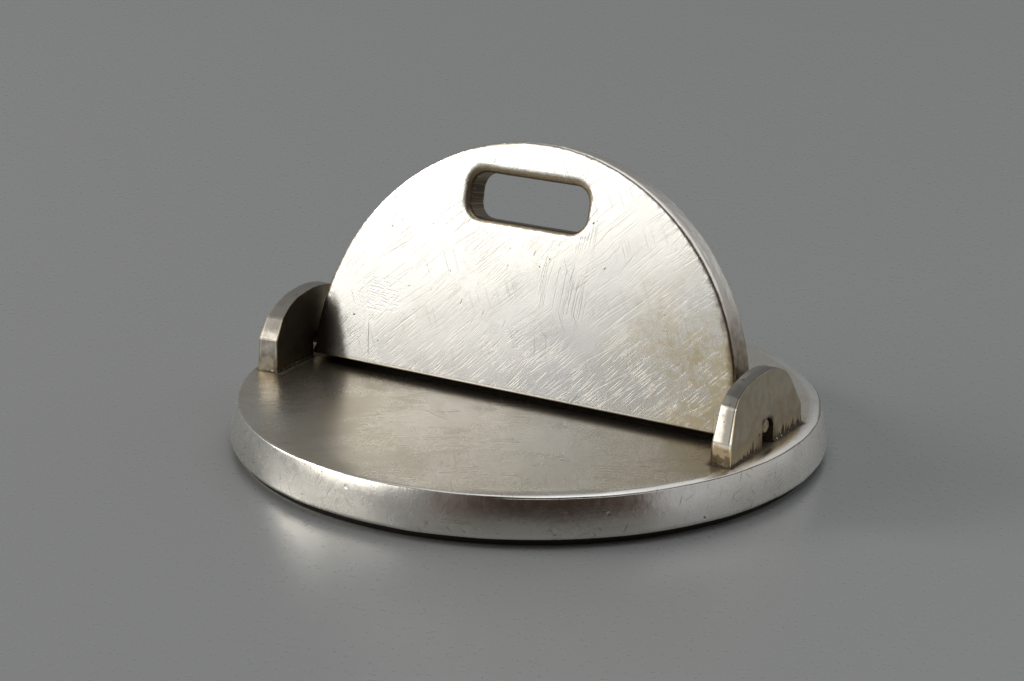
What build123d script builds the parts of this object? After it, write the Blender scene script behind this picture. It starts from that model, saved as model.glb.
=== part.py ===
from build123d import *
from math import cos, radians, sin, sqrt
import os

# Wax seal stamp: a round die with a half-round handle that folds between two soldered ears.
# Millimetres, +Z up. The origin is the middle of the die's face, which rests on Z = 0.
# The hinge line runs along X, and -Y is the front.

# Seal disc
disc_diameter = 44.6
disc_thickness = 3.6
rim_swell_height = 1.6
rim_lean = 0.45
rim_bevel_width = 0.25
rim_bevel_height = 0.2
rim_undercut_width = 0.5
rim_undercut_height = 0.5

# Die cut into the disc's underside, from the edge inwards
die_depth = 0.4
border_land = 2.15
border_groove = 0.8
legend_band = 5.2
inner_groove = 0.6
petal_count = 6
petal_tip_margin = 0.9
petal_root_radius = 1.9
petal_width = 3.4
rosette_eye_radius = 1.2

# Hinge
hinge_offset = -0.85
hinge_pin_diameter = 1.0
hinge_pin_seat = 2.0
hinge_pin_fit = 0.02
hinge_pin_recess = 0.4
hinge_pin_end_chamfer = 0.12

# Ears
ear_rim_margin = 0.45
ear_thickness = 1.6
ear_base_width = 11.2
ear_side_draft = 0.15
ear_shoulder_height = 2.2
ear_height = 5.5
ear_shoulder_round = 3.0
ear_edge_chamfer = 0.2
notch_side_play = 0.38
notch_head_play = 0.1

# Solder beads at the ears' feet
solder_leg = 0.25
solder_slope = 40

# Handle
handle_thickness = 2.5
handle_lean = 13.4
handle_side_play = 0.4
handle_edge_round = 0.3
half_round_rise = 0.33
foot_round = 0.75
foot_overreach = 0.06
fold_clearance = 0.09

# Slot in the handle
slot_length = 10.0
slot_height = 3.4
slot_corner_round = 1.2
slot_bridge = 2.77
slot_shift = -0.9
slot_edge_chamfer = 0.45

# Sizes of the disc that follow
rim_greatest_radius = disc_diameter / 2
rim_wall_top = disc_thickness - rim_bevel_height
wall_top_radius = rim_greatest_radius - rim_lean
top_radius = wall_top_radius - rim_bevel_width
rim_arc_rise = rim_wall_top - rim_swell_height
rim_arc_drop = rim_swell_height - rim_undercut_height
rim_arc_radius = (rim_lean ** 2 + rim_arc_rise ** 2) / (2 * rim_lean)
wall_foot_radius = rim_greatest_radius - rim_arc_radius + sqrt(rim_arc_radius ** 2 - rim_arc_drop ** 2)
face_radius = wall_foot_radius - rim_undercut_width
border_radius = face_radius - border_land
inner_radius = border_radius - border_groove - legend_band
petal_tip_radius = inner_radius - inner_groove - petal_tip_margin

# The ears stand so that their outer corners keep the margin to the disc's edge
ear_corner_reach = ear_base_width / 2 + abs(hinge_offset)
ear_outer = sqrt((top_radius - ear_rim_margin) ** 2 - ear_corner_reach ** 2)
ear_inner = ear_outer - ear_thickness

# The handle fills the span between the ears, and its rounded foot swings clear of the disc
handle_radius = ear_inner - handle_side_play
foot_reach = handle_thickness / 2 + foot_overreach
foot_drop = foot_round + sqrt((foot_reach - foot_round) ** 2 - (handle_thickness / 2 - foot_round) ** 2)
hinge_height = foot_reach + fold_clearance
hinge_z = disc_thickness + hinge_height
half_round_centre = half_round_rise - foot_drop
handle_half_span = sqrt(handle_radius ** 2 - half_round_centre ** 2)
slot_centre = half_round_centre + handle_radius - slot_bridge - slot_height / 2
pin_inner_end = handle_half_span - hinge_pin_seat
pin_outer_end = ear_outer - hinge_pin_recess

# The notch leaves room round the pin
notch_width = hinge_pin_diameter + 2 * notch_side_play
notch_apex = hinge_height + hinge_pin_diameter / 2 + notch_head_play
notch_spring = notch_apex - notch_width / 2


# One petal of the die's rosette, pointing along X
with BuildSketch() as petal:
    with BuildLine():
        petal_middle = (petal_root_radius + petal_tip_radius) / 2
        petal_side = ThreePointArc(
            (petal_root_radius, 0), (petal_middle, petal_width / 2), (petal_tip_radius, 0)
        )
        ThreePointArc(petal_side @ 1, (petal_middle, -petal_width / 2), petal_side @ 0)
    make_face()


# Disc with its swelled rim, bevelled above and undercut below
with BuildPart() as seal_disc:
    with BuildSketch(Plane.XZ):
        with BuildLine():
            face_line = Line((0, 0), (face_radius, 0))
            undercut_line = Line(face_line @ 1, (wall_foot_radius, rim_undercut_height))
            wall_arc = ThreePointArc(
                undercut_line @ 1,
                (rim_greatest_radius, rim_swell_height),
                (wall_top_radius, rim_wall_top),
            )
            bevel_line = Line(wall_arc @ 1, (top_radius, disc_thickness))
            top_line = Line(bevel_line @ 1, (0, disc_thickness))
            Line(top_line @ 1, face_line @ 0)
        make_face()
    revolve(axis=Axis.Z)

    # Two ring grooves leave a blank legend band between them
    with BuildSketch(Plane.XY):
        Circle(border_radius)
        Circle(border_radius - border_groove, mode=Mode.SUBTRACT)
        Circle(inner_radius)
        Circle(inner_radius - inner_groove, mode=Mode.SUBTRACT)
    extrude(amount=die_depth, mode=Mode.SUBTRACT)

    # Compass-drawn rosette in the middle
    with BuildSketch(Plane.XY):
        with PolarLocations(0, petal_count):
            add(petal.sketch)
        Circle(rosette_eye_radius)
    extrude(amount=die_depth, mode=Mode.SUBTRACT)


# Upright plate in the YZ plane, with its notch for the pin
def make_ear(start):
    foot_middle = (start, hinge_offset, disc_thickness)
    ear_plane = Plane(origin=foot_middle, x_dir=(0, 1, 0), z_dir=(1, 0, 0))
    half_base = ear_base_width / 2
    half_shoulder = half_base - ear_side_draft
    with BuildPart() as ear:
        with BuildSketch(ear_plane) as outline:
            with BuildLine():
                Polyline((-half_shoulder, ear_shoulder_height), (-half_base, 0), (half_base, 0),
                         (half_shoulder, ear_shoulder_height))
                ThreePointArc((half_shoulder, ear_shoulder_height), (0, ear_height),
                              (-half_shoulder, ear_shoulder_height))
            make_face()
            fillet(outline.vertices().group_by(Axis.Y)[-1], radius=ear_shoulder_round)
        extrude(amount=ear_thickness)
        arch_edges = ear.faces().filter_by(Axis.X).edges()
        arch_edges = arch_edges.filter_by_position(
            Axis.Z, disc_thickness, disc_thickness + ear_height, inclusive=(False, True)
        )
        chamfer(arch_edges, length=ear_edge_chamfer)
        with BuildSketch(ear_plane):
            Rectangle(notch_width, notch_spring, align=(Align.CENTER, Align.MIN))
            with Locations((0, notch_spring)):
                Circle(notch_width / 2)
        extrude(amount=ear_thickness, mode=Mode.SUBTRACT)
    return ear


left_ear = make_ear(-ear_outer)
right_ear = make_ear(ear_inner)


# Solder bead all round an ear's foot, open where the notch is
def make_solder_seam(ear, side):
    foot_middle = (side * (ear_inner + ear_outer) / 2, hinge_offset, disc_thickness)
    with BuildPart() as seam:
        with BuildSketch(Plane(origin=foot_middle)):
            Rectangle(ear_thickness + 2 * solder_leg, ear_base_width + 2 * solder_leg)
        extrude(amount=solder_leg, taper=solder_slope)
        add(ear.part, mode=Mode.SUBTRACT)
        with BuildSketch(Plane(origin=foot_middle)):
            Rectangle(ear_thickness + 2 * solder_leg, notch_width)
        extrude(amount=solder_leg, mode=Mode.SUBTRACT)
    return seam


left_solder_seam = make_solder_seam(left_ear, -1)
right_solder_seam = make_solder_seam(right_ear, 1)


# Half-round plate, drawn about the hinge line and leaning back
lean = radians(handle_lean)
handle_plane = Plane(origin=(0, hinge_offset, hinge_z), x_dir=(1, 0, 0), z_dir=(0, -cos(lean), sin(lean)))

with BuildPart() as handle_plate:
    with BuildSketch(handle_plane):
        with Locations((0, half_round_centre)):
            Circle(handle_radius)
        with Locations((0, -foot_drop)):
            Rectangle(2 * handle_radius, 2 * handle_radius,
                      align=(Align.CENTER, Align.MIN), mode=Mode.INTERSECT)
    extrude(amount=handle_thickness / 2, both=True)
    foot_edges = handle_plate.edges().filter_by(GeomType.LINE).filter_by(Axis.X)
    fillet(foot_edges, radius=foot_round)
    rim_edges = handle_plate.edges().filter_by(GeomType.CIRCLE).sort_by(SortBy.LENGTH)[-2:]
    fillet(rim_edges, radius=handle_edge_round)
    with BuildSketch(handle_plane):
        with Locations((slot_shift, slot_centre)):
            RectangleRounded(slot_length, slot_height, slot_corner_round)
    extrude(amount=handle_thickness / 2, both=True, mode=Mode.SUBTRACT)
    slot_edges = handle_plate.edges(Select.LAST).filter_by(handle_plane)
    chamfer(slot_edges, length=slot_edge_chamfer)

    # Blind holes for the pins in the two ends
    for start in (pin_inner_end, -handle_radius):
        with BuildSketch(Plane.YZ.offset(start)):
            with Locations((hinge_offset, hinge_z)):
                Circle(hinge_pin_diameter / 2 + hinge_pin_fit)
        extrude(amount=handle_radius - pin_inner_end, mode=Mode.SUBTRACT)


# Short round pin from the handle's end into the ear's notch
def make_hinge_pin(start):
    with BuildPart() as pin:
        with BuildSketch(Plane.YZ.offset(start)):
            with Locations((hinge_offset, hinge_z)):
                Circle(hinge_pin_diameter / 2)
        extrude(amount=pin_outer_end - pin_inner_end)
        chamfer(pin.edges().filter_by(GeomType.CIRCLE), length=hinge_pin_end_chamfer)
    return pin


left_hinge_pin = make_hinge_pin(-pin_outer_end)
right_hinge_pin = make_hinge_pin(pin_inner_end)


seal_disc.part.label = "seal_disc"
left_ear.part.label = "left_ear"
right_ear.part.label = "right_ear"
left_solder_seam.part.label = "left_solder_seam"
right_solder_seam.part.label = "right_solder_seam"
handle_plate.part.label = "handle_plate"
left_hinge_pin.part.label = "left_hinge_pin"
right_hinge_pin.part.label = "right_hinge_pin"

os.makedirs("parts", exist_ok=True)
export_step(seal_disc.part, "parts/seal_disc.step")
export_step(left_ear.part, "parts/left_ear.step")
export_step(right_ear.part, "parts/right_ear.step")
export_step(left_solder_seam.part, "parts/left_solder_seam.step")
export_step(right_solder_seam.part, "parts/right_solder_seam.step")
export_step(handle_plate.part, "parts/handle_plate.step")
export_step(left_hinge_pin.part, "parts/left_hinge_pin.step")
export_step(right_hinge_pin.part, "parts/right_hinge_pin.step")

print(f"hinge line at Y {hinge_offset:.3f}, Z {hinge_z:.3f}")
print(f"handle radius {handle_radius:.3f}, ear faces at X {ear_inner:.3f} and {ear_outer:.3f}")
print(f"foot {foot_drop:.3f} below the hinge line, slot centre {slot_centre:.3f} above it")
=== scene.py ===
import bpy
from math import cos, pi, radians, sin
from mathutils import Matrix, Vector


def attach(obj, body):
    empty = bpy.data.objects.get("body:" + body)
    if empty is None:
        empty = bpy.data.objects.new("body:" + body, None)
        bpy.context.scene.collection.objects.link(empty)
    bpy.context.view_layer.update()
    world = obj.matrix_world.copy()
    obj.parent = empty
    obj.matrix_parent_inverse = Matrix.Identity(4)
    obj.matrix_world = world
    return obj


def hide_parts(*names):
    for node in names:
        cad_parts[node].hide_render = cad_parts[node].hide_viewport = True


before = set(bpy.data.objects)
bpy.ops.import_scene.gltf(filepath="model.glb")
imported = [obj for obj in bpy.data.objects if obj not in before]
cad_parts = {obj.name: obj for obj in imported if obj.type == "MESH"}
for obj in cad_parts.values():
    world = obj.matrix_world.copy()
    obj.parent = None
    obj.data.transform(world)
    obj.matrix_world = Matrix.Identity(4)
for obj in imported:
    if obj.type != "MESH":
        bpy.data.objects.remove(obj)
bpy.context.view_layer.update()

# Pieces are modelled in millimetres and brought to metres when they are finished
mm = 0.001
discTop = 3.6
hingeY = -0.85
hingeZ = 5.0
earMiddle = 19.34


# Small helpers for modelling by operator

def dropSelection():
    if bpy.context.object and bpy.context.object.mode != "OBJECT":
        bpy.ops.object.mode_set(mode="OBJECT")
    bpy.ops.object.select_all(action="DESELECT")


def takeUp(piece):
    dropSelection()
    piece.select_set(True)
    bpy.context.view_layer.objects.active = piece


def newPiece(name):
    piece = bpy.context.object
    piece.name = name
    piece.data.name = name
    return piece


# The three ways of picking leave the piece in edit mode, ready for an operator
def startPick(kind):
    bpy.ops.object.mode_set(mode="EDIT")
    bpy.ops.mesh.select_mode(type=kind)
    bpy.ops.mesh.select_all(action="DESELECT")
    bpy.ops.object.mode_set(mode="OBJECT")


def pickFaces(piece, test):
    startPick("FACE")
    for face in piece.data.polygons:
        face.select = test(face.center, face.normal)
    bpy.ops.object.mode_set(mode="EDIT")


def pickEdges(piece, test):
    startPick("EDGE")
    points = piece.data.vertices
    for edge in piece.data.edges:
        edge.select = test(points[edge.vertices[0]].co, points[edge.vertices[1]].co)
    bpy.ops.object.mode_set(mode="EDIT")


def pickPoints(piece, test):
    startPick("VERT")
    for point in piece.data.vertices:
        point.select = test(point.co)
    bpy.ops.object.mode_set(mode="EDIT")


def tidyMesh(piece):
    takeUp(piece)
    bpy.ops.object.mode_set(mode="EDIT")
    bpy.ops.mesh.select_all(action="SELECT")
    bpy.ops.mesh.remove_doubles(threshold=0.0004)
    bpy.ops.mesh.normals_make_consistent(inside=False)
    bpy.ops.object.mode_set(mode="OBJECT")


def useModifier(piece, kind, **settings):
    takeUp(piece)
    modifier = piece.modifiers.new(kind.lower(), kind)
    for key, value in settings.items():
        setattr(modifier, key, value)
    bpy.ops.object.modifier_apply(modifier=modifier.name)


def cutAway(piece, cutter):
    useModifier(piece, "BOOLEAN", operation="DIFFERENCE", solver="EXACT", object=cutter)
    bpy.data.objects.remove(cutter)


def unevenness(name, size, depth):
    lumps = bpy.data.textures.new(name, "CLOUDS")
    lumps.noise_scale = size
    lumps.noise_depth = depth
    return lumps


def weightGroup(piece, name, rule):
    group = piece.vertex_groups.new(name=name)
    for point in piece.data.vertices:
        weight = rule(point.co)
        if weight > 0:
            group.add([point.index], weight, "REPLACE")
    return name


def finishPiece(piece, body, node, finish):
    takeUp(piece)
    piece.vertex_groups.clear()
    piece.scale = (mm, mm, mm)
    bpy.ops.object.transform_apply(location=True, rotation=True, scale=True)
    piece.data.materials.clear()
    piece.data.materials.append(finish)
    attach(piece, body)
    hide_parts(node)
    dropSelection()
    print("made", piece.name, "with", len(piece.data.polygons), "faces")


# Shader maths: a wire is a socket that takes part in Python expressions

class Wire:
    def __init__(self, tree, socket=None):
        self.tree = tree
        self.socket = socket

    def node(self, kind, settings=None, values=None, out=0):
        made = self.tree.nodes.new("ShaderNode" + kind)
        for key, value in (settings or {}).items():
            setattr(made, key, value)
        for key, value in (values or {}).items():
            if isinstance(key, int):
                plug = made.inputs[key]
            else:
                plug = [s for s in made.inputs if s.name == key and s.enabled][0]
            if isinstance(value, Wire):
                self.tree.links.new(value.socket, plug)
            else:
                plug.default_value = value
        live = [s for s in made.outputs if s.enabled]
        return Wire(self.tree, live[out] if live else None)

    def beside(self, out):
        return Wire(self.tree, [s for s in self.socket.node.outputs if s.enabled][out])

    def math(self, operation, first, second=0.0):
        return self.node("Math", {"operation": operation}, {0: first, 1: second})

    def __add__(self, other):
        return self.math("ADD", self, other)

    def __radd__(self, other):
        return self.math("ADD", other, self)

    def __sub__(self, other):
        return self.math("SUBTRACT", self, other)

    def __rsub__(self, other):
        return self.math("SUBTRACT", other, self)

    def __mul__(self, other):
        return self.math("MULTIPLY", self, other)

    def __rmul__(self, other):
        return self.math("MULTIPLY", other, self)

    def __neg__(self):
        return self.math("MULTIPLY", self, -1.0)

    def size(self):
        return self.math("ABSOLUTE", self)

    def most(self, other):
        return self.math("MAXIMUM", self, other)

    def least(self, other):
        return self.math("MINIMUM", self, other)

    def rise(self, low, high):
        return self.node("MapRange", {"interpolation_type": "SMOOTHSTEP"},
                         {"Value": self, "From Min": low, "From Max": high})

    def fall(self, low, high):
        return 1 - self.rise(low, high)


def newFinish(name):
    finish = bpy.data.materials.new(name)
    finish.use_nodes = True
    finish.node_tree.nodes.clear()
    return finish, Wire(finish.node_tree)


# Object coordinates in millimetres, about a centre and turned to lie along the piece
def placeCoords(start, centre=(0, 0, 0), turn=(0, 0, 0)):
    raw = start.node("TexCoord", out=3)
    return start.node("Mapping", {"vector_type": "TEXTURE"},
                      {"Vector": raw, "Location": [c * mm for c in centre],
                       "Rotation": [radians(t) for t in turn], "Scale": (mm, mm, mm)})


def axesOf(coords):
    first = coords.node("SeparateXYZ", values={"Vector": coords})
    return first, first.beside(1), first.beside(2)


# Noise of one lump size in millimetres; stretch gives it a direction
def cloud(coords, size, detail=2.0, seed=0.0, stretch=(1, 1, 1), turn=0.0):
    laid = coords.node("Mapping", {"vector_type": "TEXTURE"},
                       {"Vector": coords, "Location": (seed * 7.3, seed * 4.1, seed * 5.9),
                        "Rotation": (0, 0, radians(turn)), "Scale": [size * s for s in stretch]})
    return coords.node("TexNoise", {}, {"Vector": laid, "Scale": 1.0, "Detail": detail, "Roughness": 0.55})


# Straight strokes: the hearts of long thin cells, a share of them kept; width is half a stroke's width
def strokes(coords, turn, length, width, share, seed):
    laid = coords.node("Mapping", {"vector_type": "TEXTURE"},
                       {"Vector": coords, "Location": (seed * 7.3, seed * 4.1, 0),
                        "Rotation": (0, 0, radians(turn)), "Scale": (length * 1.4, width * 2.8, 1)})
    cell = coords.node("TexVoronoi", {"voronoi_dimensions": "2D"}, {"Vector": laid, "Scale": 1.0})
    lot = coords.node("SeparateColor", {}, {"Color": cell.beside(1)})
    weight = 0.4 + lot.beside(1) * 0.6
    return cell.fall(0.1, 0.36) * lot.rise(1 - share, 1 - share + 0.02) * weight


# Fine brushing: the level lines of a stretched noise
def brushing(coords, size, fine, seed):
    return (cloud(coords, 1.0, 0.6, seed, size) - 0.5).size().fall(0.0, fine)


# Small pits: the centres of scattered cells
def pits(coords, gap, radius, share, seed):
    laid = coords.node("Mapping", {"vector_type": "TEXTURE"},
                       {"Vector": coords, "Location": (seed, seed * 2.0, seed * 0.7),
                        "Scale": (gap, gap, gap)})
    cell = coords.node("TexVoronoi", {}, {"Vector": laid, "Scale": 1.0})
    lot = coords.node("SeparateColor", {}, {"Color": cell.beside(1)})
    return cell.fall(radius / gap * 0.4, radius / gap) * lot.rise(1 - share, 1 - share + 0.03)


# How far a point is from a box, whose corners may be rounded
def boxDistance(coords, centre, half, rounding=0.0):
    moved = coords.node("VectorMath", {"operation": "SUBTRACT"}, {0: coords, 1: centre})
    moved = coords.node("VectorMath", {"operation": "ABSOLUTE"}, {0: moved})
    moved = coords.node("VectorMath", {"operation": "SUBTRACT"},
                        {0: moved, 1: [h - rounding for h in half]})
    moved = coords.node("VectorMath", {"operation": "MAXIMUM"}, {0: moved, 1: (0, 0, 0)})
    return coords.node("VectorMath", {"operation": "LENGTH"}, {0: moved}) - rounding


# One layer of wear: its colour over the metal, its roughness, and how far it stands up in millimetres
def layOn(skin, mask, colour=None, amount=1.0, rough=0.0, raised=0.0):
    if colour:
        skin["colour"] = mask.node("Mix", {"data_type": "RGBA"},
                                   {"Factor": mask * amount, "A": skin["colour"], "B": (*colour, 1)})
    if rough:
        skin["rough"] = skin["rough"] + mask * rough
    if raised:
        skin["height"] = skin["height"] + mask * raised


def closeFinish(start, skin):
    bump = start.node("Bump", {}, {"Height": skin["height"], "Distance": mm, "Strength": 1.0})
    shader = start.node("BsdfPrincipled", {}, {"Base Color": skin["colour"], "Roughness": skin["rough"],
                                               "Metallic": 1.0, "Normal": bump})
    start.node("OutputMaterial", {}, {"Surface": shader})


# Colours that the finishes share
brownDirtAndShade = (0.07, 0.055, 0.04)
darkStroke = (0.2, 0.155, 0.1)
warmTarnishAndShade = (0.48, 0.41, 0.29)


# Seal disc

seal = {
    "segments": 288,
    "rim": [(22.07, 0.6), (22.2, 0.65), (22.262, 0.74), (22.283, 0.88), (22.274, 1.02), (22.242, 1.4),
            (22.204, 1.7), (22.154, 2.0), (22.093, 2.3), (22.022, 2.6), (21.939, 2.9), (21.876, 3.1),
            (21.826, 3.25), (21.782, 3.37), (21.752, 3.45), (21.72, 3.52), (21.67, 3.575), (21.6, 3.597),
            (21.4, 3.6)],
    "bevelSteps": (3.5, 3.55, 3.59),
    "bevelStart": 9.0,
    "bevelShrink": 0.985,
    "bevelReach": 20.7,
    "foot": 21.6,
    "topRings": 26,
    "rimUneven": 0.1,
    "rimReach": 21.4,
    "topUneven": 0.03,
    "topReach": 21.0,
    "grooves": [(19.1, 0.4), (13.2, 0.3)],
    "dieDepth": 0.4,
    "petals": 6,
    "petalEnds": (1.9, 12.0),
    "petalWidth": 3.4,
    "petalTaper": (0.9, 0.55, 1),
    "eye": 1.2,
    "metal": (0.79, 0.765, 0.71, 1),
    "rough": 0.2,
}


def ringStep(radius, height, was):
    bpy.ops.mesh.extrude_edges_move(TRANSFORM_OT_translate={"value": (0, 0, height - was[1])})
    grow = radius / was[0]
    bpy.ops.transform.resize(value=(grow, grow, 1), center_override=(0, 0, height))
    return radius, height


dropSelection()
bpy.ops.mesh.primitive_circle_add(vertices=seal["segments"], radius=seal["foot"], fill_type="NOTHING")
sealDisc = newPiece("sealDisc")
bpy.ops.object.mode_set(mode="EDIT")
bpy.ops.mesh.select_all(action="SELECT")
at = (seal["foot"], 0.0)
for radius, height in seal["rim"]:
    at = ringStep(radius, height, at)
topEdge = at[0]
for ring in range(1, seal["topRings"]):
    at = ringStep(topEdge * (1 - ring / seal["topRings"]), discTop, at)
bpy.ops.mesh.merge(type="CENTER")
bpy.ops.mesh.select_mode(type="EDGE")
bpy.ops.mesh.select_all(action="DESELECT")
bpy.ops.mesh.select_non_manifold()
bpy.ops.mesh.edge_face_add()
bpy.ops.object.mode_set(mode="OBJECT")
tidyMesh(sealDisc)

# The bevel widens towards the right
for height in seal["bevelSteps"]:
    pickPoints(sealDisc, lambda co: co.z > height and co.x > seal["bevelStart"]
               and co.xy.length > seal["bevelReach"])
    bpy.ops.transform.resize(value=(seal["bevelShrink"], 1, 1), center_override=(seal["bevelStart"], 0, 0))
    bpy.ops.object.mode_set(mode="OBJECT")

rimGroup = weightGroup(sealDisc, "rim",
                       lambda co: 1.0 if co.z > 0.1 and co.xy.length > seal["rimReach"] else 0.0)
useModifier(sealDisc, "DISPLACE", texture=unevenness("rimWear", 4.5, 1), texture_coords="LOCAL",
            strength=seal["rimUneven"], mid_level=0.75, vertex_group=rimGroup)
topGroup = weightGroup(sealDisc, "top",
                       lambda co: 1.0 if co.z > discTop - 0.1 and co.xy.length < seal["topReach"] else 0.0)
useModifier(sealDisc, "DISPLACE", texture=unevenness("topWear", 6.0, 1), texture_coords="LOCAL",
            direction="Z", strength=seal["topUneven"], mid_level=0.6, vertex_group=topGroup)

# Two ring grooves, a compass-drawn rosette and its eye are cut into the die's face
for radius, half in seal["grooves"]:
    dropSelection()
    bpy.ops.mesh.primitive_torus_add(major_radius=radius, minor_radius=half,
                                     major_segments=192, minor_segments=20)
    groove = newPiece("groove")
    groove.scale.z = seal["dieDepth"] / half
    bpy.ops.object.transform_apply(scale=True)
    cutAway(sealDisc, groove)

# Two arcs of one radius meet at a petal's ends
inner, outer = seal["petalEnds"]
halfLength = (outer - inner) / 2
halfWidth = seal["petalWidth"] / 2
petalRadius = (halfLength ** 2 + halfWidth ** 2) / (2 * halfWidth)
for turn in range(seal["petals"]):
    dropSelection()
    bpy.ops.mesh.primitive_cylinder_add(vertices=160, radius=petalRadius, depth=2 * seal["dieDepth"],
                                        location=((inner + outer) / 2, petalRadius - halfWidth, 0))
    otherArc = newPiece("otherArc")
    dropSelection()
    bpy.ops.mesh.primitive_cylinder_add(vertices=160, radius=petalRadius, depth=2 * seal["dieDepth"],
                                        location=((inner + outer) / 2, halfWidth - petalRadius, 0))
    petal = newPiece("petal")
    useModifier(petal, "BOOLEAN", operation="INTERSECT", solver="EXACT", object=otherArc)
    bpy.data.objects.remove(otherArc)
    takeUp(petal)
    bpy.ops.object.transform_apply(location=True, rotation=True, scale=True)
    pickFaces(petal, lambda centre, normal: normal.z > 0.9)
    bpy.ops.transform.resize(value=seal["petalTaper"],
                             center_override=((inner + outer) / 2, 0, seal["dieDepth"]))
    bpy.ops.mesh.select_all(action="SELECT")
    bpy.ops.transform.rotate(value=2 * pi * turn / seal["petals"], orient_axis="Z", center_override=(0, 0, 0))
    bpy.ops.object.mode_set(mode="OBJECT")
    cutAway(sealDisc, petal)

dropSelection()
bpy.ops.mesh.primitive_uv_sphere_add(segments=48, ring_count=24, radius=seal["eye"])
eye = newPiece("eye")
eye.scale.z = seal["dieDepth"] / seal["eye"]
bpy.ops.object.transform_apply(scale=True)
cutAway(sealDisc, eye)
tidyMesh(sealDisc)
bpy.ops.object.shade_smooth_by_angle(angle=radians(32))


def discSilver():
    finish, start = newFinish("discSilver")
    p = placeCoords(start)
    x, y, z = axesOf(p)
    reach = start.node("VectorMath", {"operation": "LENGTH"},
                       {0: start.node("CombineXYZ", {}, {"X": x, "Y": y})})
    onTop = z.rise(discTop - 0.1, discTop - 0.04)
    onRim = reach.rise(21.45, 21.7)
    rightFoot = boxDistance(p, (earMiddle, hingeY, discTop), (0.8, 5.6, 0.5))
    leftFoot = boxDistance(p, (-earMiddle, hingeY, discTop), (0.8, 5.6, 0.5))
    foot = rightFoot.least(leftFoot)
    under = boxDistance(p, (0, hingeY + 0.2, discTop), (18.4, 0.9, 0.5))
    drift = cloud(p, 6.0, 3.0, 1.0)
    patch = cloud(p, 1.6, 3.0, 2.0)
    skin = {
        "colour": seal["metal"],
        "rough": seal["rough"] - onRim * 0.02,
        "height": cloud(p, 3.6, 1.0, 4.0) * 0.005,
    }
    clean = onRim.most(reach.rise(20.75, 21.05) * x.rise(9.0, 13.0))
    layOn(skin, clean, (0.88, 0.865, 0.83), 0.85)
    layOn(skin, cloud(p, 0.18, 2.0, 3.0), raised=0.0005)
    layOn(skin, cloud(p, 0.6, 2.0, 5.0) * (1 + onRim * 8.0), rough=0.015, raised=0.0008)
    layOn(skin, cloud(p, 0.22, 2.0, 12.0, (1, 1, 7)) * onRim, raised=0.007)
    layOn(skin, cloud(p, 1.0, 2.0, 10.0, (0.12, 3.0, 3.0)) * onTop, rough=0.04, raised=0.0004)

    # Tarnish in clouds, deeper under the handle and round the ears, and a painted dark reflection in an
    # upright band left of the middle as the camera sees it
    tarnish = 0.1 + reach.rise(8.0, 20.0) * 0.22
    tarnish = tarnish + drift.rise(0.4, 0.72) * 0.26 + patch.rise(0.45, 0.75) * 0.12
    tarnish = tarnish + (under + (patch - 0.5) * 2.0).fall(0.0, 2.0) * 0.2 + foot.fall(0.2, 4.5) * 0.26
    # painted reflection: darker in a band along the line of sight, where the left ear reflects in the top
    tarnish = tarnish + (x * 0.855 + y * 0.519 + 13.5).size().fall(1.0, 6.5) * 0.3
    tarnish = tarnish + rightFoot.fall(0.2, 2.2) * x.rise(19.0, 20.2) * 0.4
    layOn(skin, tarnish * (1 - clean * 0.65), warmTarnishAndShade, rough=0.08)
    streak = cloud(p, 1.0, 3.0, 14.0, (5.0, 0.2, 2.0), 31.0).rise(0.45, 0.7) * drift.rise(0.3, 0.6)
    layOn(skin, streak * onTop, (0.36, 0.33, 0.27), 0.08, rough=0.02)
    stain = cloud(p, 2.2, 3.0, 15.0, (1.6, 0.7, 1.0), 31.0).rise(0.56, 0.7)
    layOn(skin, stain * onTop, (0.40, 0.35, 0.27), 0.3, rough=0.03)
    layOn(skin, z.fall(0.02, 0.1), warmTarnishAndShade, 0.25)

    # Hairlines over the top, and a few deeper strokes
    hair = brushing(p, (9.0, 0.2, 2.0), 0.05, 3.0) * patch.rise(0.45, 0.65) * 0.12
    hair = hair.most(strokes(p, 24, 6.0, 0.045, 0.16, 1.0)).most(strokes(p, -52, 4.0, 0.04, 0.1, 2.0))
    layOn(skin, hair * onTop, rough=0.04, raised=-0.0005)
    deep = strokes(p, 64, 5.0, 0.06, 0.03, 4.0).most(strokes(p, -18, 7.0, 0.055, 0.025, 5.0))
    layOn(skin, deep * onTop, darkStroke, 0.4, raised=-0.004)

    # Round the rim: upright strokes, nicks and lines along it, and a crease under the bevel
    upright = brushing(p, (0.26, 0.26, 3.0), 0.035, 6.0) * cloud(p, 2.2, 2.0, 7.0).rise(0.5, 0.62)
    layOn(skin, upright * onRim, darkStroke, 0.25, raised=-0.0015)
    along = brushing(p, (16, 16, 0.2), 0.035, 8.0) * cloud(p, 3.0, 2.0, 9.0).rise(0.5, 0.6)
    layOn(skin, along * onRim, darkStroke, 0.25, raised=-0.0015)
    crease = (z - discTop + 0.17 - (drift - 0.5) * 0.1).size().fall(0.015, 0.05) * onRim
    layOn(skin, crease * (x + (patch - 0.5) * 9.0).rise(6.0, 12.0), brownDirtAndShade, 0.85, raised=-0.02)
    wall = start.node("CombineXYZ", {}, {"X": start.math("ARCTAN2", y, x) * 22.0, "Y": z})
    scuff = strokes(wall, 62, 1.1, 0.04, 0.06, 31.0).most(strokes(wall, -48, 0.8, 0.04, 0.06, 32.0))
    scuff = scuff.most(strokes(wall, 20, 1.4, 0.035, 0.05, 33.0)) * drift.rise(0.4, 0.55)
    layOn(skin, scuff * onRim, brownDirtAndShade, 0.7, raised=-0.003)
    layOn(skin, pits(p, 1.3, 0.2, 0.3, 4.0) * onRim, raised=-0.015)
    pitted = pits(p, 1.9, 0.13, 0.35, 1.0).most(pits(p, 0.8, 0.06, 0.3, 2.0))
    layOn(skin, pitted, brownDirtAndShade, 0.75, raised=-0.03)
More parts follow.
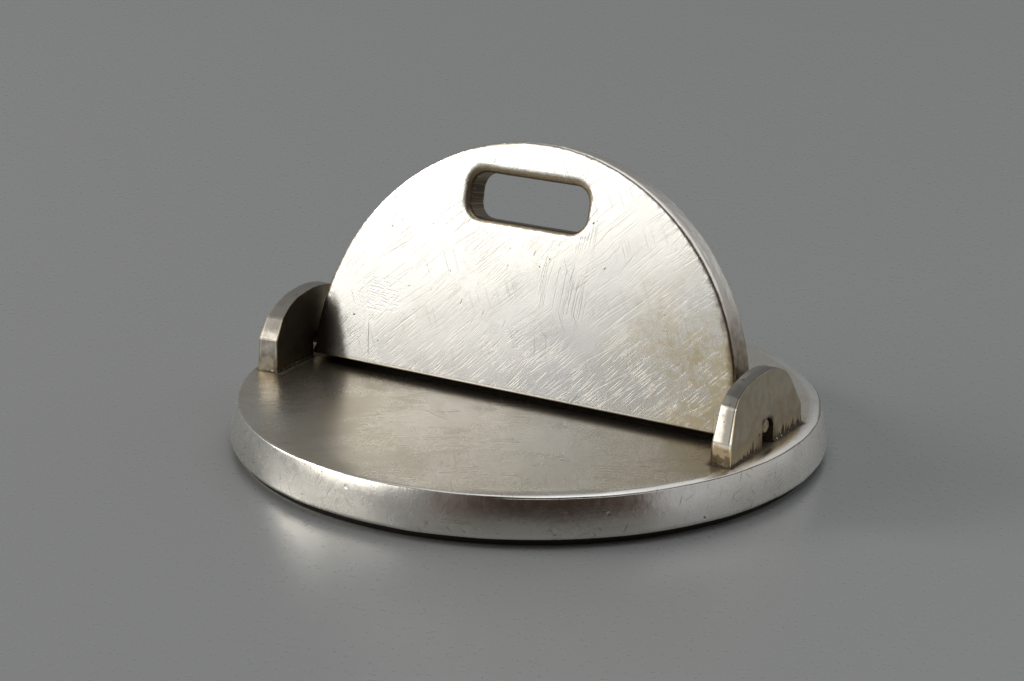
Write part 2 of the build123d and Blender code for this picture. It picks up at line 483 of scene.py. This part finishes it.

    # Grime gathers at the ears' feet and in the die; the top is painted dark under the handle as shade, and
    # the undercut under the rim is painted near black as shadow
    recess = z.rise(0.03, 0.3) * reach.fall(20.0, 20.5) * z.fall(1.0, 1.5)
    # painted shadow: the undercut below the rim's wall is painted near black
    undercut = z.rise(0.02, 0.1) * z.fall(0.58, 0.64) * reach.rise(21.3, 21.5)
    # painted shade: the top is darkened in the gap under the handle's foot
    gap = (under + (patch - 0.5) * 0.3).fall(-0.05, 0.15) * onTop * 0.6
    dirtAndShade = (foot + (patch - 0.5) * 0.9).fall(0.05, 0.6).most(recess * 0.75).most(gap)
    layOn(skin, dirtAndShade, brownDirtAndShade, 0.85, rough=0.3, raised=0.01)
    layOn(skin, undercut, (0.025, 0.02, 0.015), 0.95, rough=0.3)
    closeFinish(start, skin)
    return finish


finishPiece(sealDisc, "base", "seal_disc", discSilver())


# Ears

ears = {
    "inner": 18.542,
    "thick": 1.6,
    "left": [(0.0, 5.6, 1.66, 0.0, 0.24), (2.5, 5.4, 1.56, 0.08, 0.2), (4.0, 4.25, 1.4, 0.34, 0.1),
             (4.75, 3.3, 1.33, 0.36, 0.0), (5.2, 2.3, 1.28, 0.32, 0.0), (5.4, 1.2, 1.24, 0.26, 0.0),
             (5.49, 0.4, 1.2, 0.2, 0.0)],
    "right": [(0.0, 5.6, 1.66, 0.0, 0.14), (1.6, 5.45, 1.6, 0.03, 0.18), (4.0, 4.2, 1.34, 0.44, 0.26),
              (4.7, 3.4, 1.26, 0.44, 0.46), (5.15, 2.4, 1.22, 0.38, 0.5), (5.4, 1.2, 1.18, 0.3, 0.3),
              (5.49, 0.4, 1.14, 0.25, 0.1)],
    "softCrease": 0.14,
    "edge": 0.18,
    "notchHalf": 0.88,
    "notchSpring": 1.12,
    "metal": (0.77, 0.74, 0.68, 1),
    "rough": 0.28,
}


# Each step up an ear: height, half width, thickness, shift forward, and how far the outer front corner leads
def makeEar(name, side, steps):
    middle = side * (ears["inner"] + ears["thick"] / 2)
    was = steps[0]
    firstStep = steps[1][0]
    dropSelection()
    bpy.ops.mesh.primitive_cube_add(size=1, location=(middle, hingeY, discTop + firstStep / 2))
    ear = newPiece(name)
    ear.scale = (was[2], 2 * was[1], firstStep)
    bpy.ops.object.transform_apply(location=True, rotation=True, scale=True)
    pickFaces(ear, lambda centre, normal: normal.z > 0.9)
    for step in steps[1:]:
        height, half, thick, forward = step[:4]
        if height > firstStep:
            bpy.ops.mesh.extrude_region_move(TRANSFORM_OT_translate={"value": (0, 0, height - was[0])})
        bpy.ops.transform.resize(value=(thick / was[2], half / was[1], 1),
                                 center_override=(middle, hingeY - was[3], discTop + height))
        bpy.ops.transform.translate(value=(0, was[3] - forward, 0))
        was = step
    bpy.ops.object.mode_set(mode="OBJECT")
    for height, *_, lead in steps:
        pickPoints(ear, lambda co: abs(co.z - discTop - height) < 0.01 and co.y < hingeY
                   and (co.x - middle) * side > 0)
        bpy.ops.transform.translate(value=(0, -lead, 0))
        bpy.ops.object.mode_set(mode="OBJECT")

    # The arch is filed in flats, then its two outlines are eased
    pickEdges(ear, lambda a, b: abs(a.x - b.x) > 1 and min(a.z, b.z) > discTop + 0.1)
    bpy.ops.mesh.bevel(offset=ears["softCrease"], segments=3, affect="EDGES", clamp_overlap=True)
    bpy.ops.object.mode_set(mode="OBJECT")
    pickEdges(ear, lambda a, b: abs(a.x - b.x) < 0.3 and max(a.z, b.z) > discTop + 0.1)
    bpy.ops.mesh.bevel(offset=ears["edge"], segments=3, affect="EDGES", clamp_overlap=True)
    bpy.ops.object.mode_set(mode="OBJECT")

    dropSelection()
    bpy.ops.mesh.primitive_cylinder_add(vertices=64, radius=ears["notchHalf"], depth=4,
                                        location=(middle, hingeY, discTop + ears["notchSpring"]),
                                        rotation=(0, pi / 2, 0))
    cutAway(ear, newPiece("notchArch"))
    dropSelection()
    bpy.ops.mesh.primitive_cube_add(size=1, location=(middle, hingeY, discTop))
    notchFoot = newPiece("notchFoot")
    notchFoot.scale = (4, 2 * ears["notchHalf"], 2 * ears["notchSpring"])
    cutAway(ear, notchFoot)
    tidyMesh(ear)
    bpy.ops.object.shade_smooth_by_angle(angle=radians(40))
    useModifier(ear, "WEIGHTED_NORMAL", mode="FACE_AREA", weight=80, keep_sharp=True)
    return ear


def earSilver():
    finish, start = newFinish("earSilver")
    p = placeCoords(start, (0, hingeY, discTop))
    x, _, z = axesOf(p)
    out = x.size()
    inner = (out - z * 0.035).fall(18.555, 18.6)
    outer = (out + z * 0.035).rise(20.08, 20.12)
    onEdge = (1 - outer) * (1 - inner)
    eased = onEdge * (out - earMiddle).size().rise(0.58, 0.66) * z.rise(1.0, 1.6)
    toRight = x.rise(-1.0, 1.0)
    patch = cloud(p, 0.7, 3.0, 12.0)
    drift = cloud(p, 3.0, 3.0, 11.0)
    skin = {"colour": ears["metal"], "rough": ears["rough"] - onEdge * 0.04, "height": drift * 0.012}
    layOn(skin, cloud(p, 0.16, 2.0, 13.0), raised=0.001)
    layOn(skin, patch, rough=0.08, raised=0.006)

    # Tarnish is deeper low down and on the two faces; the upper filed flats are painted dark as a dark
    # reflection, and their edges bright
    tarnish = 0.12 + drift.rise(0.42, 0.7) * 0.3 + z.fall(0.4, 1.9) * 0.4 + inner * 0.5 + outer * 0.65
    layOn(skin, tarnish, (0.42, 0.34, 0.22), rough=0.08)
    low = onEdge * (z + (patch - 0.5) * 0.6).fall(1.2, 1.6) * (0.35 + toRight * 0.65)
    layOn(skin, low, (0.36, 0.28, 0.165), 0.8, rough=0.2)
    layOn(skin, onEdge * z.fall(0.5, 1.9) * patch.rise(0.48, 0.58), (0.09, 0.068, 0.04), 0.6, rough=0.1)
    layOn(skin, outer * patch.rise(0.42, 0.62), (0.3, 0.26, 0.19), 0.3)
    # painted reflection: the upper flats are darkened
    flatsPaintedDark = onEdge * (z + (patch - 0.5) * 0.5 - toRight * 0.9).rise(2.8, 3.3)
    layOn(skin, flatsPaintedDark * (0.6 + patch * 0.7), (0.17, 0.165, 0.155), 0.8, rough=0.06)
    grey = onEdge * toRight * (x + (patch - 0.5) * 0.5).rise(18.9, 19.5) * z.rise(1.4, 1.8)
    layOn(skin, grey, (0.17, 0.165, 0.15), 0.88, rough=0.08)
    layOn(skin, onEdge * (1 - toRight) * patch.rise(0.35, 0.65), (0.3, 0.275, 0.23), 0.55, rough=0.08)
    seamLine = onEdge * toRight * (out - 19.87).size().fall(0.02, 0.06) * z.rise(1.5, 1.9)
    layOn(skin, seamLine, brownDirtAndShade, 0.75)
    layOn(skin, eased, (0.85, 0.83, 0.78), 0.85, rough=-0.06)
    # painted shade: the inner face, between ear and handle, is painted near black
    layOn(skin, inner * (0.6 + patch * 0.3), (0.09, 0.07, 0.045))

    # File strokes run upright on the faces and along the filed edge
    upright = brushing(p, (9, 0.22, 3.4), 0.05, 14.0) * cloud(p, 1.5, 2.0, 15.0).rise(0.46, 0.6)
    layOn(skin, upright, darkStroke, 0.14, raised=-0.001)
    layOn(skin, brushing(p, (0.2, 3.0, 3.0), 0.05, 16.0) * onEdge, darkStroke, 0.2, raised=-0.0012)
    pitted = pits(p, 1.1, 0.18, 0.45, 3.0).most(pits(p, 0.6, 0.07, 0.4, 5.0))
    layOn(skin, pitted, brownDirtAndShade, 0.85, raised=-0.03)

    # Dark strokes of grime stand up from the foot, and the ear is darker in and round the notch
    tongues = cloud(p, 1.0, 2.0, 17.0, (4, 0.19, 2.4))
    foot = (z - (tongues - 0.42) * (1.0 + drift.rise(0.35, 0.65) * 2.6)).fall(0.02, 0.3) * (1 - onEdge * 0.7)
    notch = boxDistance(p, (0, 0, 0.6), (40, 0.6, 1.2))
    notchDarkening = (notch + (patch - 0.5) * 0.8).fall(0.1, 0.5) * 0.9
    smudge = (notch + (patch - 0.5) * 1.5).fall(0.3, 1.6) * z.fall(0.4, 1.6) * 0.6
    layOn(skin, foot.most(notchDarkening).most(smudge), (0.05, 0.04, 0.028), 0.88, rough=0.3)
    closeFinish(start, skin)
    return finish


earFinish = earSilver()
leftEar = makeEar("leftEar", -1, ears["left"])
rightEar = makeEar("rightEar", 1, ears["right"])
finishPiece(leftEar, "base", "left_ear", earFinish)
finishPiece(rightEar, "base", "right_ear", earFinish)


# Solder beads round the ears' feet

bead = {
    "leg": 0.2,
    "top": 0.04,
    "sunk": 0.15,
    "voxel": 0.04,
    "lumps": 0.12,
    "metal": (0.08, 0.062, 0.042, 1),
    "rough": 0.5,
}


def makeBead(name, side):
    middle = side * (ears["inner"] + ears["thick"] / 2)
    footWide = 2 * ears["right"][0][1]
    dropSelection()
    bpy.ops.mesh.primitive_cube_add(size=1, location=(middle, hingeY, discTop + bead["leg"] / 2 - 0.04))
    seam = newPiece(name)
    seam.scale = (ears["thick"] + 2 * bead["leg"], footWide + 2 * bead["leg"], bead["leg"] + 0.08)
    bpy.ops.object.transform_apply(location=True, rotation=True, scale=True)
    pickFaces(seam, lambda centre, normal: normal.z > 0.9)
    bpy.ops.transform.resize(value=((ears["thick"] + 2 * bead["top"]) / (ears["thick"] + 2 * bead["leg"]),
                                    (footWide + 2 * bead["top"]) / (footWide + 2 * bead["leg"]), 1),
                             center_override=(middle, hingeY, discTop))
    bpy.ops.object.mode_set(mode="OBJECT")
    inside = 2 * bead["sunk"]
    for size in ((ears["thick"] - inside, footWide - inside, 2.0), (4.0, 2 * ears["notchHalf"], 2.0)):
        dropSelection()
        bpy.ops.mesh.primitive_cube_add(size=1, location=(middle, hingeY, discTop))
        space = newPiece("space")
        space.scale = size
        cutAway(seam, space)
    useModifier(seam, "REMESH", mode="VOXEL", voxel_size=bead["voxel"])
    useModifier(seam, "SMOOTH", factor=0.5, iterations=3)
    useModifier(seam, "DISPLACE", texture=unevenness(name + "Lumps", 0.7, 2), texture_coords="LOCAL",
                strength=bead["lumps"], mid_level=0.55)
    bpy.ops.object.shade_smooth_by_angle(angle=radians(45))
    return seam


def solderGrey():
    finish, start = newFinish("solderGrey")
    p = placeCoords(start, (0, hingeY, discTop))
    skin = {"colour": bead["metal"], "rough": bead["rough"], "height": 0.0}
    layOn(skin, cloud(p, 0.5, 3.0, 21.0).rise(0.4, 0.65), (0.04, 0.032, 0.024), 0.7, raised=0.01)
    layOn(skin, cloud(p, 0.09, 2.0, 22.0), rough=0.15, raised=0.004)
    layOn(skin, cloud(p, 0.32, 2.0, 23.0).rise(0.64, 0.72), (0.45, 0.41, 0.34), rough=-0.2, raised=0.01)
    closeFinish(start, skin)
    return finish


solderFinish = solderGrey()
finishPiece(makeBead("leftSolder", -1), "base", "left_solder_seam", solderFinish)
finishPiece(makeBead("rightSolder", 1), "base", "right_solder_seam", solderFinish)


# Handle plate: drawn flat about the hinge line, then leaned back

plate = {
    "radius": 18.142,
    "centre": -0.672,
    "foot": -1.16,
    "thick": 2.5,
    "lean": 13.4,
    "footRound": 0.75,
    "edgeRound": 0.22,
    "slotCentre": (-0.9, 13.0),
    "slotSize": (10.0, 3.4),
    "slotCorner": 1.2,
    "slotLip": 0.28,
    "slotWear": 0.2,
    "voxel": 0.12,
    "uneven": 0.022,
    "nicked": 0.045,
    "nickReach": 17.72,
    "nickLip": 0.5,
    "softLip": 0.8,
    "pinHole": (0.52, 16.13),
    "metal": (0.81, 0.795, 0.76, 1),
    "rough": 0.21,
}

dropSelection()
bpy.ops.mesh.primitive_circle_add(vertices=256, radius=plate["radius"], fill_type="NGON",
                                  location=(0, plate["centre"], -plate["thick"] / 2))
handlePlate = newPiece("handlePlate")
bpy.ops.object.transform_apply(location=True)
bpy.ops.object.mode_set(mode="EDIT")
bpy.ops.mesh.select_all(action="SELECT")
bpy.ops.mesh.bisect(plane_co=(0, plate["foot"], 0), plane_no=(0, 1, 0), clear_inner=True)
bpy.ops.mesh.select_all(action="SELECT")
bpy.ops.mesh.extrude_region_move(TRANSFORM_OT_translate={"value": (0, 0, plate["thick"])})
bpy.ops.object.mode_set(mode="OBJECT")
tidyMesh(handlePlate)
pickEdges(handlePlate, lambda a, b: abs(a.x - b.x) > 10)
bpy.ops.mesh.bevel(offset=plate["footRound"], segments=8, affect="EDGES")
bpy.ops.object.mode_set(mode="OBJECT")
pickEdges(handlePlate, lambda a, b: abs(a.z - b.z) < 0.01 and abs(abs(a.z) - plate["thick"] / 2) < 0.01
          and min(a.y, b.y) > plate["foot"] + plate["footRound"] - 0.01)
bpy.ops.mesh.bevel(offset=plate["edgeRound"], segments=4, affect="EDGES")
bpy.ops.object.mode_set(mode="OBJECT")

# The slot's cutter flares at both faces, more at its top, where a ribbon has worn it
proud = 0.3  # the cutter stands out of both faces
dropSelection()
bpy.ops.mesh.primitive_plane_add(size=1, location=(*plate["slotCentre"], -plate["thick"] / 2 - proud))
slotTool = newPiece("slotTool")
slotTool.scale = (*plate["slotSize"], 1)
bpy.ops.object.transform_apply(location=True, rotation=True, scale=True)
bpy.ops.object.mode_set(mode="EDIT")
bpy.ops.mesh.select_all(action="SELECT")
bpy.ops.mesh.bevel(offset=plate["slotCorner"], segments=12, affect="VERTICES")
bpy.ops.mesh.select_all(action="SELECT")
slotMiddle = Vector((*plate["slotCentre"], 0))
mouth = plate["slotLip"] + proud
wide, high = plate["slotSize"]
flareWide, flareHigh = (wide + 2 * mouth) / wide, (high + 2 * mouth) / high
bpy.ops.transform.resize(value=(flareWide, flareHigh, 1), center_override=slotMiddle)
bpy.ops.mesh.extrude_region_move(TRANSFORM_OT_translate={"value": (0, 0, mouth)})
bpy.ops.transform.resize(value=(1 / flareWide, 1 / flareHigh, 1), center_override=slotMiddle)
straight = plate["thick"] - 2 * plate["slotLip"]
bpy.ops.mesh.extrude_region_move(TRANSFORM_OT_translate={"value": (0, 0, straight)})
bpy.ops.mesh.extrude_region_move(TRANSFORM_OT_translate={"value": (0, plate["slotWear"], mouth)})
bpy.ops.transform.resize(value=(flareWide, flareHigh, 1),
                         center_override=slotMiddle + Vector((0, plate["slotWear"], 0)))
bpy.ops.object.mode_set(mode="OBJECT")
tidyMesh(slotTool)
cutAway(handlePlate, slotTool)

holeRadius, holeStart = plate["pinHole"]
for side in (-1, 1):
    dropSelection()
    bpy.ops.mesh.primitive_cylinder_add(vertices=40, radius=holeRadius, depth=4,
                                        location=(side * (holeStart + 2), 0, 0), rotation=(0, pi / 2, 0))
    cutAway(handlePlate, newPiece("pinHole"))

useModifier(handlePlate, "REMESH", mode="VOXEL", voxel_size=plate["voxel"])
useModifier(handlePlate, "SMOOTH", factor=0.5, iterations=2)
useModifier(handlePlate, "DISPLACE", texture=unevenness("plateWear", 5.0, 1), texture_coords="LOCAL",
            strength=plate["uneven"], mid_level=0.55)

# The arc's edges and the slot's lips are nicked
halfSlot = Vector(plate["slotSize"]) / 2
arcMiddle = Vector((0, plate["centre"]))


def offSlot(co):
    fromMiddle = co.xy - Vector(plate["slotCentre"])
    return max(abs(fromMiddle.x) - halfSlot.x, abs(fromMiddle.y) - halfSlot.y)


def nickShare(co):
    if offSlot(co) < plate["nickLip"]:
        return 0.6
    return 1.0 if (co.xy - arcMiddle).length > plate["nickReach"] else 0.0


def lipShare(co):
    return 1.0 if offSlot(co) < plate["softLip"] else 0.0


lipGroup = weightGroup(handlePlate, "lips", lipShare)
useModifier(handlePlate, "SMOOTH", factor=0.5, iterations=12, vertex_group=lipGroup)
nickGroup = weightGroup(handlePlate, "nicks", nickShare)
useModifier(handlePlate, "DISPLACE", texture=unevenness("nicks", 0.7, 1), texture_coords="LOCAL",
            strength=plate["nicked"], mid_level=0.6, vertex_group=nickGroup)
handlePlate.rotation_euler = (radians(90 - plate["lean"]), 0, 0)
handlePlate.location = (0, hingeY, hingeZ)
bpy.ops.object.transform_apply(location=True, rotation=True, scale=True)
bpy.ops.object.shade_smooth()


def handleSilver():
    finish, start = newFinish("handleSilver")
    p = placeCoords(start, (0, hingeY, hingeZ), (90 - plate["lean"], 0, 0))
    u, v, w = axesOf(p)
    flat = start.node("CombineXYZ", {}, {"X": u, "Y": v - plate["centre"]})
    reach = start.node("VectorMath", {"operation": "LENGTH"}, {0: flat})
    onArc = reach.rise(17.82, 18.0)
    onFace = w.size().rise(1.05, 1.18)
    plane = start.node("CombineXYZ", {}, {"X": u, "Y": v})
    slot = boxDistance(plane, (*plate["slotCentre"], 0),
                       (plate["slotSize"][0] / 2, plate["slotSize"][1] / 2, plate["slotCorner"]),
                       plate["slotCorner"])
    drift = cloud(p, 5.0, 3.0, 31.0)
    mottle = cloud(p, 0.5, 2.0, 35.0)
    skin = {
        "colour": plate["metal"],
        "rough": plate["rough"] + onArc * 0.02,
        "height": cloud(p, 3.0, 1.0, 34.0) * 0.002,
    }
    layOn(skin, cloud(p, 0.16, 2.0, 33.0), raised=0.0011)
    layOn(skin, mottle, rough=0.05, raised=0.0012)

    # Warm tarnish low on the right, which also paints the shade where the glare falls off, faint elsewhere,
    # and a cooler tone low in the middle
    stain = u.rise(3.0, 15.0) * v.fall(4.0, 12.0)
    tarnish = stain * (mottle.rise(0.3, 0.7) * 0.6 + drift.rise(0.3, 0.7) * 0.65)
    tarnish = tarnish + drift.rise(0.48, 0.72) * mottle.rise(0.4, 0.7) * 0.16
    layOn(skin, tarnish, (0.5, 0.425, 0.275), rough=0.06)
    cool = (u + (drift - 0.5) * 14.0).rise(-3.0, 4.0) * (v + (drift - 0.5) * 8.0).fall(5.0, 11.0)
    layOn(skin, cool * (1 - stain * 0.8), (0.60, 0.62, 0.63), 0.4)

    # Hairlines: long diagonals, an upright fan, short ones low on the plate; the two faces differ
    bend = cloud(p, 12.0, 1.0, 36.0)
    face = start.node("CombineXYZ", {}, {"X": u + w.rise(-0.1, 0.1) * 61.0 + bend * 0.3, "Y": v + bend * 0.4})
    hair = strokes(face, 44, 3.6, 0.032, 0.16, 1.0).most(strokes(face, 38, 5.0, 0.032, 0.12, 2.0))
    hair = hair.most(strokes(face, 52, 3.0, 0.032, 0.12, 12.0)).most(strokes(face, -64, 2.6, 0.03, 0.08, 3.0))
    bundle = (u - 3.4).size().fall(1.4, 3.0) * (v - 8.6).size().fall(2.4, 4.6)
    layOn(skin, hair * onFace, (0.46, 0.43, 0.36), 0.55, rough=0.04, raised=-0.0028)
    fan = strokes(face, 86, 4.0, 0.045, 0.5, 4.0).most(strokes(face, 80, 3.0, 0.045, 0.35, 14.0)) * bundle
    fan = fan.most(strokes(face, 47, 1.6, 0.04, 0.42, 5.0) * (v + (mottle - 0.5) * 3.0).fall(1.6, 4.4))
    layOn(skin, fan * onFace, (0.47, 0.43, 0.35), 0.55, raised=-0.0045)

    # Deeper cuts, dark with old polish, and a patch of chatter marks at the left
    cut = strokes(face, 42, 6.0, 0.04, 0.022, 6.0).most(strokes(face, 57, 4.0, 0.04, 0.022, 7.0))
    cut = cut.most(strokes(face, 97, 3.6, 0.045, 0.018, 8.0)).most(strokes(face, 34, 4.5, 0.04, 0.02, 13.0))
    cut = cut.most(strokes(face, 75, 0.7, 0.06, 0.04, 10.0) * drift.rise(0.54, 0.62))
    layOn(skin, cut * onFace, darkStroke, 0.65, raised=-0.007)
    chatter = strokes(face, -10, 0.8, 0.06, 0.8, 11.0) * onFace
    chatter = chatter * (u + 12.6).size().fall(0.8, 2.4) * (v - 4.4).size().fall(0.6, 1.8)
    layOn(skin, chatter, raised=-0.006)

    # Streaks along the arc, hatched nicks at its corner, brown dirt low down and beside the right ear, and a
    # painted shadow of the left ear on the face
    layOn(skin, onArc, (0.72, 0.655, 0.57), 0.6)
    layOn(skin, brushing(p, (12, 12, 0.26), 0.04, 39.0) * onArc, darkStroke, 0.3, raised=-0.0015)
    corner = (reach - 17.94).size().fall(0.03, 0.1) * w.size().rise(0.85, 1.0)
    layOn(skin, corner * (0.35 + drift.rise(0.36, 0.6) * 0.65), (0.16, 0.125, 0.085), 0.6)
    low = onArc * (v + (drift - 0.5) * 5.0).fall(4.0, 9.0)
    layOn(skin, low * (0.45 + mottle * 0.8), (0.15, 0.105, 0.055), 0.95, rough=0.1)
    beside = (reach + (mottle - 0.5) * 0.5).rise(17.35, 17.85) * u.rise(8.0, 14.0) * v.fall(4.0, 10.0)
    layOn(skin, beside * (1 - onArc), (0.27, 0.2, 0.1), 0.75, rough=0.06)
    # painted shadow: the left ear's shadow, painted dark on the face
    shade = (-u + (mottle - 0.5) * 0.5 - v * 0.36).rise(14.9, 15.7) * v.fall(2.5, 4.4)
    layOn(skin, shade, (0.07, 0.055, 0.04), 0.85)

    # Painted shade under the foot, tan dirt and file marks in the slot, whose walls are painted near black as
    # shade, pits all over
    layOn(skin, v.fall(-1.08, -0.96), (0.17, 0.13, 0.085), 0.85, rough=0.1)
    lip = (slot + (mottle - 0.5) * 0.2 - (v - plate["slotCentre"][1]).rise(0.0, 1.2) * 0.2).fall(0.24, 0.38)
    layOn(skin, lip, (0.33, 0.265, 0.165), 0.9, rough=0.16)
    # painted shade: the slot's walls are painted near black
    layOn(skin, slot.fall(0.02, 0.16), (0.055, 0.038, 0.022), 0.93)
    layOn(skin, brushing(p, (0.3, 0.3, 5.0), 0.07, 40.0) * lip, (0.24, 0.18, 0.11), 0.55, raised=-0.008)
    pitted = pits(p, 1.5, 0.1, 0.35, 5.0).most(pits(p, 0.7, 0.07, 0.4, 6.0) * drift.rise(0.46, 0.58))
    layOn(skin, pitted, brownDirtAndShade, 0.8, raised=-0.02)
    closeFinish(start, skin)
    return finish


finishPiece(handlePlate, "handle", "handle_plate", handleSilver())


# Hinge pins

pin = {
    "radius": 0.5,
    "inner": 16.13,
    "outer": 20.02,
    "endRound": 0.12,
    "domeInset": 0.16,
    "domeRise": 0.02,
    # painted shade: the pin's body is near black, as it sits in the dark notch
    "metal": (0.05, 0.04, 0.028, 1),
    "rough": 0.5,
}


def makePin(name, side):
    middle = side * (pin["inner"] + pin["outer"]) / 2
    dropSelection()
    bpy.ops.mesh.primitive_cylinder_add(vertices=48, radius=pin["radius"], depth=pin["outer"] - pin["inner"],
                                        location=(middle, hingeY, hingeZ), rotation=(0, pi / 2, 0))
    stub = newPiece(name)
    bpy.ops.object.transform_apply(location=True, rotation=True, scale=True)
    pickEdges(stub, lambda a, b: abs(a.x - b.x) < 0.001)
    bpy.ops.mesh.bevel(offset=pin["endRound"], segments=4, affect="EDGES")
    bpy.ops.object.mode_set(mode="OBJECT")
    pickFaces(stub, lambda centre, normal: normal.x * side > 0.995)
    bpy.ops.mesh.inset(thickness=pin["domeInset"], depth=pin["domeRise"])
    bpy.ops.object.mode_set(mode="OBJECT")
    tidyMesh(stub)
    bpy.ops.object.shade_smooth_by_angle(angle=radians(40))
    return stub


def pinSilver():
    finish, start = newFinish("pinSilver")
    p = placeCoords(start, (0, hingeY, hingeZ))
    skin = {"colour": pin["metal"], "rough": pin["rough"], "height": 0.0}
    layOn(skin, axesOf(p)[0].size().rise(19.8, 19.88), (0.55, 0.45, 0.29))
    layOn(skin, cloud(p, 0.35, 3.0, 51.0).rise(0.45, 0.7), (0.2, 0.15, 0.095), 0.7, rough=0.1, raised=0.006)
    layOn(skin, cloud(p, 0.06, 2.0, 52.0), raised=0.001)
    layOn(skin, brushing(p, (3, 0.1, 1.5), 0.08, 53.0), (0.3, 0.26, 0.19), 0.2, raised=-0.003)
    closeFinish(start, skin)
    return finish


pinFinish = pinSilver()
finishPiece(makePin("leftPin", -1), "handle", "left_hinge_pin", pinFinish)
finishPiece(makePin("rightPin", 1), "handle", "right_hinge_pin", pinFinish)


# Floor, light and camera

studio = {
    "floorSize": 6.0,
    "floorGrey": (0.26, 0.266, 0.262, 1),
    "key": {"turn": -44.0, "rise": 22.0, "far": 0.4, "size": (0.32, 0.23), "power": 0.43},
    "side": {"turn": -70.0, "rise": 26.0, "far": 0.6, "size": (0.25, 0.2), "power": 1.1},
    "warm": (1.0, 0.97, 0.92),
    "floorRough": 0.26,
    "roomGlow": {"all": 0.22, "above": 0.6, "behind": 0.55, "side": 0.26},
    "darkness": 0.89,
    "coolAir": (0.96, 0.98, 1.0, 1),
    "brownAir": (1.0, 0.52, 0.3, 1),
}


def studioFloor():
    finish, start = newFinish("paleCard")
    p = placeCoords(start)
    skin = {"colour": studio["floorGrey"], "rough": studio["floorRough"], "height": 0.0}
    layOn(skin, cloud(p, 60.0, 2.0, 61.0), (0.32, 0.325, 0.32), 0.1)
    layOn(skin, cloud(p, 0.5, 2.0, 62.0), rough=0.04)
    shader = start.node("BsdfPrincipled", {}, {"Base Color": skin["colour"], "Roughness": skin["rough"]})
    start.node("OutputMaterial", {}, {"Surface": shader})
    return finish


dropSelection()
bpy.ops.mesh.primitive_plane_add(size=studio["floorSize"], location=(0, 0, -0.00002))
floor = newPiece("floor")
bpy.ops.object.transform_apply(location=True)
floor.data.materials.append(studioFloor())


def aimLamp(name, lampPlan):
    turn, rise = radians(lampPlan["turn"]), radians(lampPlan["rise"])
    place = Vector((sin(turn) * cos(rise), -cos(turn) * cos(rise), sin(rise))) * lampPlan["far"]
    bpy.ops.object.light_add(type="AREA", location=place)
    lamp = bpy.context.object
    lamp.name = name
    lamp.data.shape = "ELLIPSE"
    lamp.data.size, lamp.data.size_y = lampPlan["size"]
    lamp.data.energy = lampPlan["power"]
    lamp.data.color = studio["warm"]
    lamp.rotation_euler = (-place).to_track_quat("-Z", "Y").to_euler()


aimLamp("keyLamp", studio["key"])
aimLamp("sideLamp", studio["side"])

# The room is brighter above, behind and at one side, with a dark brown part in front
world = bpy.data.worlds.new("studio")
bpy.context.scene.world = world
world.use_nodes = True
world.node_tree.nodes.clear()
air = Wire(world.node_tree)
toward = air.node("TexCoord", out=0)
lookX, lookY, lookZ = axesOf(toward)
toRight = lookX * -0.24 - lookY * 0.97
toLeft = lookX + lookY * 0.09
side = lookX * 0.85 + lookY * 0.5
behind = lookX * 0.2 + lookY * 0.5 + lookZ * 0.84
dark = toRight.rise(-0.07, -0.02) * toLeft.rise(-0.3, 0.2) * lookZ.fall(0.65, 0.88)
share = studio["roomGlow"]
glow = share["all"] + lookZ.rise(0.82, 0.97) * share["above"]
glow = glow + behind.rise(0.6, 0.92) * share["behind"] + side.rise(0.2, 0.9) * share["side"]
glow = glow * (1 - dark * studio["darkness"])
tint = air.node("Mix", {"data_type": "RGBA"},
                {"Factor": dark, "A": studio["coolAir"], "B": studio["brownAir"]})
sky = air.node("Background", {}, {"Color": tint, "Strength": glow})
air.node("OutputWorld", {}, {"Surface": sky})

# The camera's place and lens, fitted to the photograph
view = {
    "turn": 31.27,
    "rise": 17.479,
    "roll": 0.566,
    "far": 189.202,
    "slide": (-1.22, 7.299),
    "focalPixels": 2514.286,
    "imageWide": 1024,
}
turn, rise, roll = (radians(view[key]) for key in ("turn", "rise", "roll"))
back = Vector((sin(turn) * cos(rise), -cos(turn) * cos(rise), sin(rise)))
right = Vector((cos(turn), sin(turn), 0))
up = back.cross(right)
rightRolled = right * cos(roll) + up * sin(roll)
upRolled = up * cos(roll) - right * sin(roll)
stand = (back * view["far"] + rightRolled * view["slide"][0] + upRolled * view["slide"][1]) * mm
lens = bpy.data.cameras.new("camera")
lens.sensor_fit = "HORIZONTAL"
lens.sensor_width = 36.0
lens.lens = 36.0 * view["focalPixels"] / view["imageWide"]
lens.clip_start = 0.01
camera = bpy.data.objects.new("camera", lens)
bpy.context.scene.collection.objects.link(camera)
camera.matrix_world = Matrix.Translation(stand) @ Matrix((rightRolled, upRolled, back)).transposed().to_4x4()
bpy.context.scene.camera = camera
bpy.context.scene.view_settings.view_transform = "Standard"
print("studio and camera set")
